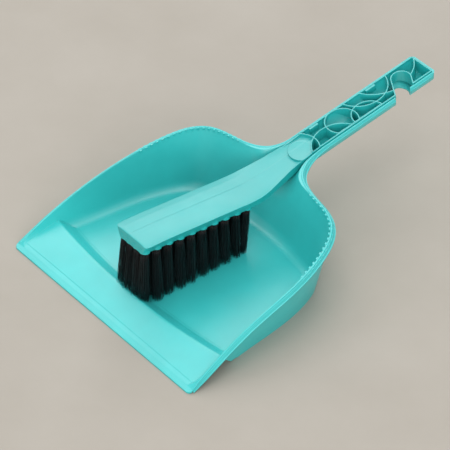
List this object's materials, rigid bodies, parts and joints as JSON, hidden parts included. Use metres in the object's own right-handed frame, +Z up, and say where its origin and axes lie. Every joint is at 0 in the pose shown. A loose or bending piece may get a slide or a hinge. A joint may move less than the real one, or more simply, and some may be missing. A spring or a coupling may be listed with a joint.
{
  "type": "dust pan and brush set",
  "caption": "Hand dust pan with a bowed ramp and channel handle, and a bristle brush whose open ribbed handle nests in it; a shared side notch hangs both.",
  "frame": {"origin": "centre of the set's footprint on the ground", "axes": "+X to the right across the lip, +Y from the lip towards the handle tip, +Z up"},
  "size_m": [0.2254, 0.339, 0.0891],
  "materials": {
    "pan_plastic": "satin moulded polypropylene",
    "block_plastic": "satin moulded polypropylene",
    "bristle": "black synthetic filament",
    "anchor_wire": "plain flat wire"
  },
  "bodies": {
    "pan": {"dust_pan": "pan_plastic"},
    "brush": {"brush_body": "block_plastic", "tuft_row_01": "bristle", "tuft_row_02": "bristle", "tuft_row_03": "bristle", "tuft_row_04": "bristle", "tuft_row_05": "bristle", "tuft_row_06": "bristle", "tuft_row_07": "bristle", "tuft_row_08": "bristle", "tuft_row_09": "bristle", "tuft_row_10": "bristle", "staples_row_01": "anchor_wire", "staples_row_02": "anchor_wire", "staples_row_03": "anchor_wire", "staples_row_04": "anchor_wire", "staples_row_05": "anchor_wire", "staples_row_06": "anchor_wire", "staples_row_07": "anchor_wire", "staples_row_08": "anchor_wire", "staples_row_09": "anchor_wire", "staples_row_10": "anchor_wire"}
  },
  "joints": [
    {"name": "brush_lift", "type": "slide", "parent": "pan", "child": "brush", "axis": [0, -0.1564, 0.9877], "range_m": [0, 0.15]}
  ]
}
